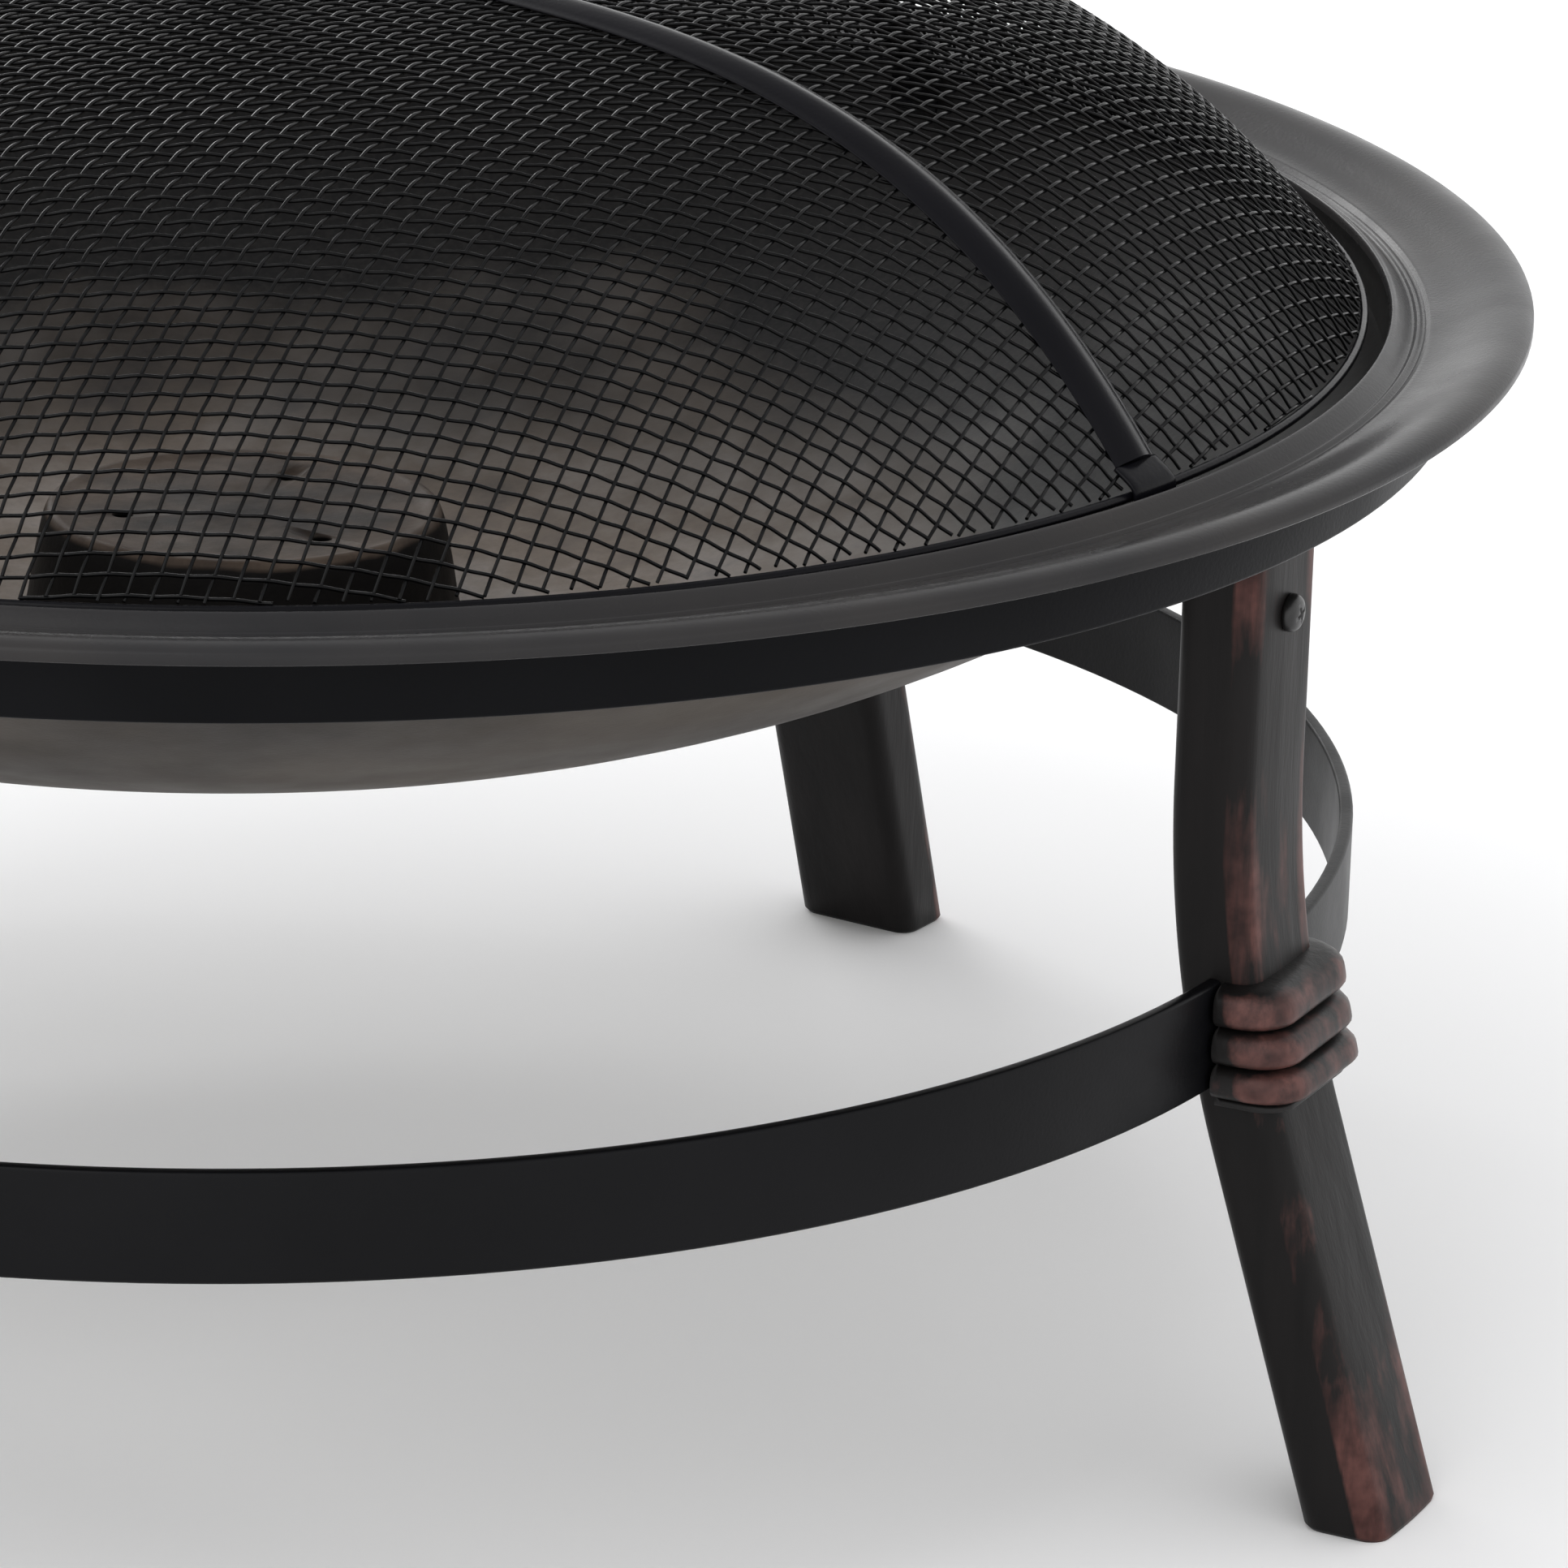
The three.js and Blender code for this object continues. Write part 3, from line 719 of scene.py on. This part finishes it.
def leg_rub(s):
    """How far the leg is rubbed at length s: most near its top, above the wrap and near the floor."""
    places = ((35, 16), (118, 22), (270, 30))  # (length, spread) of each
    return 0.45 + 0.55 * max(math.exp(-((s - place) / spread) ** 2) for place, spread in places)


def make_leg():
    """One leg along +X: an open-topped tube, cut flat on the floor and capped there."""
    section = leg_section()
    deep, wide = 0.82, 0.905  # the tube's inside as a share of its outside
    hollow = [(deep * out, wide * across, 0.0) for out, across, _ in leg_section(crown=0)]
    hollow_stops = ((60, 0), (40, 0), (LEG_TOP, 1))  # (length, slant) from inside the tube up to its cut top
    rings = [leg_ring(s, hollow, slant) for s, slant in hollow_stops]
    wear = [0.0] * (len(rings) * len(hollow))
    last_square_z = 12
    slant_length = 16
    s = LEG_TOP
    while leg_middle(s)[0][1] > last_square_z:
        rings.append(leg_ring(s, section, max(0.0, 1 - (s - LEG_TOP) / slant_length)))
        wear += [leg_rub(s) * w for _, _, w in section]
        s += LEG_STEP
    # The last two rings slide down the leg's slope onto the floor.
    (r, z), (nr, nz) = leg_middle(s - LEG_STEP)
    for height, shrink in ((1.2, 1.0), (0.0, 0.95)):
        ring = []
        for out, across, w in section:
            slide = (z + nz * out * shrink - height) * math.tan(BEND_ANGLE)
            ring.append((r + nr * out * shrink + slide, across * shrink, height))
            wear.append(w)
        rings.append(ring)
    leg = loft("leg_source", rings, looks["leg"])
    paint_wear(leg, wear)
    return leg


def wrap_levels():
    """(height, bulge) down the wrap, the bulge of each turn going from 0 to 1 and back."""
    down_power, out_power = 3.2, 2.2  # both over 2, which would be round, so the turns are blunt
    levels = []
    z = WRAP_TOP
    for height in WRAP_TURNS:
        share = min(1, height / WRAP_ASIDE)
        for k in range(TURN_STEPS + 1):
            u = -math.cos(k / TURN_STEPS * math.pi)
            bulge = share * (1 - abs(u) ** down_power) ** (1 / out_power)
            levels.append((z - height * (u + 1) / 2, bulge))
        z -= height
    return levels


def make_wrap():
    """Stacked turns round the outside of the leg, each a blunt roll, with a thin one below."""
    core_d, core_w = LEG_DEPTH / 2 - LEG_CORNER, LEG_WIDTH / 2 - LEG_CORNER
    least = 0.8  # between turns the wrap still covers the leg
    clear = RING_RADIUS + 0.3  # it stays outside the ring
    rings, wear = [], []
    for height, bulge in wrap_levels():
        a = math.asin(min((BEND_Z - height) / BEND_RADIUS, math.sin(BEND_ANGLE)))
        middle = LEG_RADIUS + BEND_RADIUS * (1 - math.cos(a))
        out = least + bulge * (WRAP_OUT - least)
        aside = least + bulge * (WRAP_ASIDE - least)
        ring = []
        for px, py, corner in leg_section(crown=0):
            over_x, over_y = max(abs(px) - core_d, 0), max(abs(py) - core_w, 0)
            length = max(math.hypot(over_x, over_y), TINY)
            x = middle + px + math.copysign(over_x / length, px) * out
            y = py + math.copysign(over_y / length, py) * aside
            ring.append((max(x, clear), y, height))
            wear.append(bulge * (0.35 + 0.65 * corner))
        rings.append(ring)
    wrap = loft("wrap_source", rings, looks["wrap"])
    paint_wear(wrap, wear)
    return wrap


def make_screw(name):
    """A pan-head screw along +X with a cross recess, the underside of its head at x = 0."""
    thread = 2.4
    recess_angle = math.radians(20)
    lengthening = 4.2  # of a square pin into a slot
    profile = [
        (0, -SCREW_LENGTH), (thread - 0.5, -SCREW_LENGTH), (thread, 0.8 - SCREW_LENGTH), (thread, -0.2),
        (4.3, 0), (SCREW_HEAD, 0.35), (SCREW_HEAD, 1.1), (4.45, 1.9), (3.9, 2.6), (3.0, 3.05), (1.6, 3.3),
        (0, 3.38),
    ]
    screw = lathe(name, profile, looks["fastener"], SCREW_SIDES)
    for quarter in (0, QUARTER):
        slot = lathe("slot", [(0, 1.9), (0.55, 1.9), (0.75, 6), (0, 6)], looks["fastener"], sides=4)
        turn(slot, math.radians(45))
        slot.data.transform(Matrix.Diagonal((lengthening, 1, 1, 1)))
        turn(slot, quarter + recess_angle)
        subtract(screw, slot)
    turn(screw, QUARTER, "Y")
    return screw


def make_stand():
    """The band, the lower ring, the legs with their wraps, and the fasteners; the CAD's brackets are kept."""
    low, high = (corner.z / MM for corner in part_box("support_band"))
    band = hoop("support_band_look", BAND_RADIUS, BAND_SHEET, low, high, ease=0.9, material=looks["stand"])
    stand_for(band, "stand", "stand_steel", "support_band")
    low, high = RING_TOP - RING_HEIGHT, RING_TOP
    ring = hoop("lower_ring_look", RING_RADIUS, RING_SHEET, low, high, ease=1.0, material=looks["ring"])
    stand_for(ring, "stand", "stand_steel", "lower_ring")
    round_about(make_leg(), "leg", LEG_ANGLES, "stand", "leg_steel")
    round_about(make_wrap(), "leg_wrap", LEG_ANGLES, "stand", "wrap_steel")

    crown_out = 0.6  # of the leg's outer face, under the screw
    screw = make_screw("screw_source")
    move(screw, LEG_RADIUS + LEG_DEPTH / 2 + crown_out, 0, SCREW_Z)
    round_about(screw, "leg_screw", LEG_ANGLES, "stand", "fastener_steel")
    bolt_gap = 0.3  # between the ring and the bolt's head
    bolt = make_screw("bolt_source")
    turn(bolt, math.pi)
    move(bolt, RING_RADIUS - RING_SHEET - bolt_gap, 0, RING_TOP - RING_HEIGHT / 2)
    round_about(bolt, "ring_bolt", LEG_ANGLES, "stand", "fastener_steel")

    for i in range(len(LEG_ANGLES)):
        bracket = nodes[f"band_bracket_{i + 1}"]
        bracket.data.materials.clear()
        bracket.data.materials.append(looks["stand"])


# ---- Lid: its woven screen ----

def dome_height(r):
    """Height of the middle of the weave at radius r."""
    return LID_Z + LID_RISE * (1 - (r / LID_RADIUS) ** LID_POWER)


def dome_slope(r):
    """How much the dome falls for each millimetre outwards."""
    return LID_RISE * LID_POWER * (r / LID_RADIUS) ** (LID_POWER - 1) / LID_RADIUS


def dome_point(x, y, lift):
    """A point over plan position (x, y), lifted square to the dome."""
    r = math.hypot(x, y)
    slope = dome_slope(r)
    length = math.hypot(slope, 1)
    out = lift * slope / length / max(r, TINY)
    return Vector((x + x * out, y + y * out, dome_height(r) + lift / length))


def net_height(r):
    """The dome, carried on in a straight line past its edge, so that the net can be laid beyond it."""
    if r <= LID_RADIUS:
        return dome_height(r)
    return LID_Z - dome_slope(LID_RADIUS) * (r - LID_RADIUS)


def next_crossing(corner, a, b):
    """The fourth corner of a cell, on the dome: one side away from a and the other away from b."""
    newton_steps = 8
    x, y = a.x + b.x - corner.x, a.y + b.y - corner.y
    for _ in range(newton_steps):
        r = math.hypot(x, y)
        slope = dome_slope(min(r, LID_RADIUS))
        p = Vector((x, y, net_height(r)))
        from_a, from_b = p - a, p - b
        along_x, along_y = Vector((1, 0, -slope * x / r)), Vector((0, 1, -slope * y / r))
        m = Matrix(((from_a.dot(along_x), from_a.dot(along_y)), (from_b.dot(along_x), from_b.dot(along_y))))
        if abs(m.determinant()) < TINY:
            return None
        short = Vector((CELL[1] ** 2 - from_a.length_squared, CELL[0] ** 2 - from_b.length_squared))
        step = m.inverted() @ short / 2
        x, y = x + step.x, y + step.y
    return Vector((x, y, net_height(math.hypot(x, y))))


def first_wires(furthest):
    """The crossings along the two wires that pass over the dome's top, numbered from it."""
    settling_steps = 12
    crossings = {(0, 0): Vector((0, 0, dome_height(0)))}
    for axis, angle in enumerate(WIRE_ANGLES):
        for sign in (1, -1):
            r, i = 0.0, 0
            while r < furthest:
                step = CELL[axis]
                for _ in range(settling_steps):
                    step *= CELL[axis] / math.hypot(step, net_height(r + step) - net_height(r))
                r, i = r + step, i + sign
                place = Vector((sign * r * math.cos(angle), sign * r * math.sin(angle), net_height(r)))
                crossings[(i, 0) if axis == 0 else (0, i)] = place
    return crossings


def lay_net():
    """Every crossing of the two families of wires, as a net of equal cells laid from the dome's top."""
    furthest = 1.2 * LID_RADIUS
    crossings = first_wires(furthest)
    reach = max(i for i, _ in crossings)
    for di in (1, -1):
        for dj in (1, -1):
            for i in range(1, reach + 1):
                for j in range(1, reach + 1):
                    around = [(di * (i - 1), dj * (j - 1)), (di * i, dj * (j - 1)), (di * (i - 1), dj * j)]
                    if not all(key in crossings for key in around):
                        continue
                    place = next_crossing(*(crossings[key] for key in around))
                    if place and place.xy.length < furthest:
                        crossings[(di * i, dj * j)] = place
    return crossings


def wire_lines(crossings, family):
    """The wires of one family, each a line over and under the wires of the other."""
    amplitude = 0.7 * WIRE  # the wires are pressed a little into each other
    reach = LID_RADIUS - 0.9
    rows = {}
    for key, place in crossings.items():
        rows.setdefault(key[1 - family], {})[key[family]] = place
    lines = []
    for row, places in sorted(rows.items()):
        stops = sorted(places)
        plan = smooth_line([tuple(places[k].xy) for k in stops], WIRE_PIECES)
        line = []
        for k, (x, y) in enumerate(plan):
            if math.hypot(x, y) <= reach:
                weave = math.pi * (stops[0] + k / WIRE_PIECES + row + family)
                line.append(dome_point(x, y, amplitude * math.cos(weave)))
        if len(line) > 2:
            lines.append(line)
    return lines


def weave_screen():
    """The wires of each family, in two pieces a family."""
    crossings = lay_net()
    for family, letter in enumerate("ab"):
        lines = wire_lines(crossings, family)
        middle = len(lines) // 2
        for half, some in enumerate((lines[:middle], lines[middle:])):
            points, faces = [], []
            for line in some:
                rings = tube_rings(line, WIRE, WIRE_SIDES)
                faces += skin(rings, len(points))
                points += [p for ring in rings for p in ring]
            obj = new_object(f"lid_wire_{letter}_{half + 1}", points, faces, looks["wire"])
            stand_for(obj, "lid", "screen_wire", "lid_screen")


# ---- Lid: hem, ribs and handle ----

def strap_section(width, sheet, crown, edge):
    """(across, up) points round a strap's section: a crowned top with rounded edges, a flat underside."""
    crown_power = 1.6
    round_the_edge = (0.8, 1.6, 2.4)  # radians
    flat = width / 2 - edge
    top = []
    for k in range(STRAP_STEPS + 1):
        u = 2 * k / STRAP_STEPS - 1
        top.append((u * flat, sheet + crown * (1 - abs(u) ** crown_power)))
    right = [(flat + edge * math.sin(a), sheet / 2 * (1 + math.cos(a))) for a in round_the_edge]
    left = [(-x, y) for x, y in reversed(right)]
    return top + right + [(flat, 0), (-flat, 0)] + left


def sweep_strap(name, spine, section):
    """A strap along +X following (r, z) points, its section square to them."""
    rings = []
    for k, (r, z) in enumerate(spine):
        r1, z1 = spine[min(k + 1, len(spine) - 1)]
        r0, z0 = spine[max(k - 1, 0)]
        length = math.hypot(r1 - r0, z1 - z0)
        nr, nz = -(z1 - z0) / length, (r1 - r0) / length
        rings.append([(r + nr * up, across, z + nz * up) for across, up in section])
    return loft(name, rings, looks["lid"])


def make_hem():
    """The round wire along the screen's edge."""
    hem = []
    for k in range(HEM_SIDES + 1):
        a = 2 * math.pi * k / HEM_SIDES
        hem.append((LID_RADIUS + LID_HEM * math.cos(a), LID_Z + LID_HEM * math.sin(a)))
    stand_for(lathe("lid_hem_look", hem, looks["lid"]), "lid", "lid_steel", "lid_hem_ring")


def make_ribs():
    """The four crowned ribs over the dome and the bent foot at the end of each."""
    above_weave = 0.6
    spine = []
    for k in range(RIB_STEPS + 1):
        r = RIB_INNER + (RIB_OUTER - RIB_INNER) * math.sin(k / RIB_STEPS * QUARTER)
        p = dome_point(r, 0, above_weave)
        spine.append((p.x, p.z))
    rib = sweep_strap("rib_source", spine, strap_section(RIB_WIDTH, sheet=0.7, crown=2.4, edge=1.0))
    round_about(rib, "lid_rib", RIB_ANGLES, "lid", "lid_steel")

    # The foot goes on from the rib's end, turns down outside the hem and reaches the bowl's slope.
    end = dome_point(RIB_OUTER + 0.3, 0, 0.1)
    outside = LID_RADIUS + LID_HEM + 0.4
    foot_line = smooth_line([
        (end.x, end.z), (outside - 1.3, LID_Z + 2.6), (outside, LID_Z + 0.4), (outside, LID_Z - 5),
        (outside - 0.1, LID_Z - 10), (outside - 0.6, LID_Z - 12.8),
    ])
    foot = sweep_strap("foot_source", foot_line, strap_section(FOOT_WIDTH, sheet=1.3, crown=0.15, edge=0.8))
    round_about(foot, "lid_rib_foot", RIB_ANGLES, "lid", "lid_steel")


def handle_line(bottom):
    """The handle's rod: up one side from its tail under the plate, over and down the other."""
    top = bottom + PLATE_SHEET + HANDLE_HEIGHT
    rise = HANDLE_TAIL + PLATE_SHEET + HANDLE_HEIGHT - HANDLE_BEND
    step = 2
    line = [Vector((-HANDLE_SPREAD, 0, bottom - HANDLE_TAIL + step * k)) for k in range(int(rise / step))]
    for k in range(ROD_BEND_STEPS + 1):
        a = math.pi - k / ROD_BEND_STEPS * QUARTER
        x = HANDLE_BEND - HANDLE_SPREAD + HANDLE_BEND * math.cos(a)
        line.append(Vector((x, 0, top - HANDLE_BEND + HANDLE_BEND * math.sin(a))))
    return line + [Vector((-p.x, 0, p.z)) for p in reversed(line)]


def make_handle():
    """The plate over the ribs' ends, and the loop handle with its collars above it and its nuts below."""
    angle = FIRST_RIB + QUARTER / 2  # between two ribs
    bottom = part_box("lid_cap_plate")[0].z / MM
    plate = lathe("lid_cap_plate_look", [
        (0, bottom), (PLATE_RADIUS - 0.8, bottom), (PLATE_RADIUS, bottom + 0.5), (PLATE_RADIUS, bottom + 1.1),
        (PLATE_RADIUS - 0.6, bottom + 1.8), (PLATE_RADIUS - 2.5, bottom + 2.3), (30, bottom + PLATE_SHEET),
        (0, bottom + PLATE_SHEET),
    ], looks["lid"], DRUM_SIDES)
    stand_for(plate, "lid", "lid_steel", "lid_cap_plate")

    rod = tube_rings(handle_line(bottom), ROD, ROD_SIDES, upright=Vector((0, 1, 0)))
    handle = loft("lid_handle_look", rod, looks["fastener"])
    parts = [handle]
    for side in (-1, 1):
        collar = lathe(f"collar_{side}", [
            (ROD, bottom + 2.8), (7.4, bottom + 2.8), (8, bottom + 3.4), (8, bottom + 4.6),
            (7.2, bottom + 5.3), (ROD, bottom + 5.4),
        ], looks["fastener"], COLLAR_SIDES)
        move(collar, side * HANDLE_SPREAD, 0, 0)
        parts.append(collar)
    join(parts)
    turn(handle, angle)
    stand_for(handle, "lid", "fastener_steel", "lid_handle")

    for i, side in enumerate((-1, 1)):
        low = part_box(f"lid_handle_nut_{i + 1}")[0].z / MM
        nut = lathe(f"lid_handle_nut_{i + 1}_look", [
            (4.2, low), (6.6, low), (7.5, low + 0.7), (7.5, low + 5.8), (6.6, low + 6.5), (4.2, low + 6.5),
            (4.2, low),
        ], looks["fastener"], sides=6)
        nut.data.shade_flat()
        move(nut, side * HANDLE_SPREAD, 0, 0)
        turn(nut, angle)
        stand_for(nut, "lid", "fastener_steel", f"lid_handle_nut_{i + 1}")


def make_lid():
    weave_screen()
    make_hem()
    make_ribs()
    make_handle()


# ---- Surroundings ----

def make_floor():
    """A plain pale floor, wide enough to reach the horizon."""
    n = Nodes("floor_paint")
    colour = n.ramp(n.noise(3, 2), [(0.3, 0.93), (0.7, 0.95)])
    roughness = n.ramp(n.noise(8, 2), [(0.3, 0.75), (0.7, 0.85)])
    paint = n.finish(colour, roughness, specular=0.2)
    size = 30000
    corners = [(-size, -size, 0), (size, -size, 0), (size, size, 0), (-size, size, 0)]
    floor = new_object("floor", corners, [(0, 1, 2, 3)], paint, smooth=False)


def make_world():
    """A white room, brighter low down, where the backdrop is, than overhead."""
    world = bpy.data.worlds.new("studio")
    world.use_nodes = True
    tree = world.node_tree
    direction = tree.nodes.new("ShaderNodeTexCoord").outputs["Generated"]
    split = tree.nodes.new("ShaderNodeSeparateXYZ")
    ramp = tree.nodes.new("ShaderNodeValToRGB")
    tree.links.new(direction, split.inputs["Vector"])
    tree.links.new(split.outputs["Z"], ramp.inputs["Fac"])
    tree.links.new(ramp.outputs["Color"], tree.nodes["Background"].inputs["Color"])
    backdrop, overhead = ramp.color_ramp.elements
    backdrop.position = 0.25
    backdrop.color = (1, 1, 1, 1)
    overhead.position = 0.85
    overhead.color = (0.55, 0.55, 0.56, 1)
    tree.nodes["Background"].inputs["Strength"].default_value = 1.45
    bpy.context.scene.world = world


make_floor()
make_world()
add_light("key", place=(-1.4, -1.0, 2.4), target=(0, 0, 0.2), size=(2.4, 1.8), watts=26)
add_light("back", place=(-0.5, 2.4, 1.3), target=(0, 0, 0.25), size=(1.6, 0.7), watts=20)
add_camera()
make_bowl()
make_drum()
make_stand()
make_lid()
bpy.context.scene.view_settings.view_transform = "Standard"

bpy.context.view_layer.update()
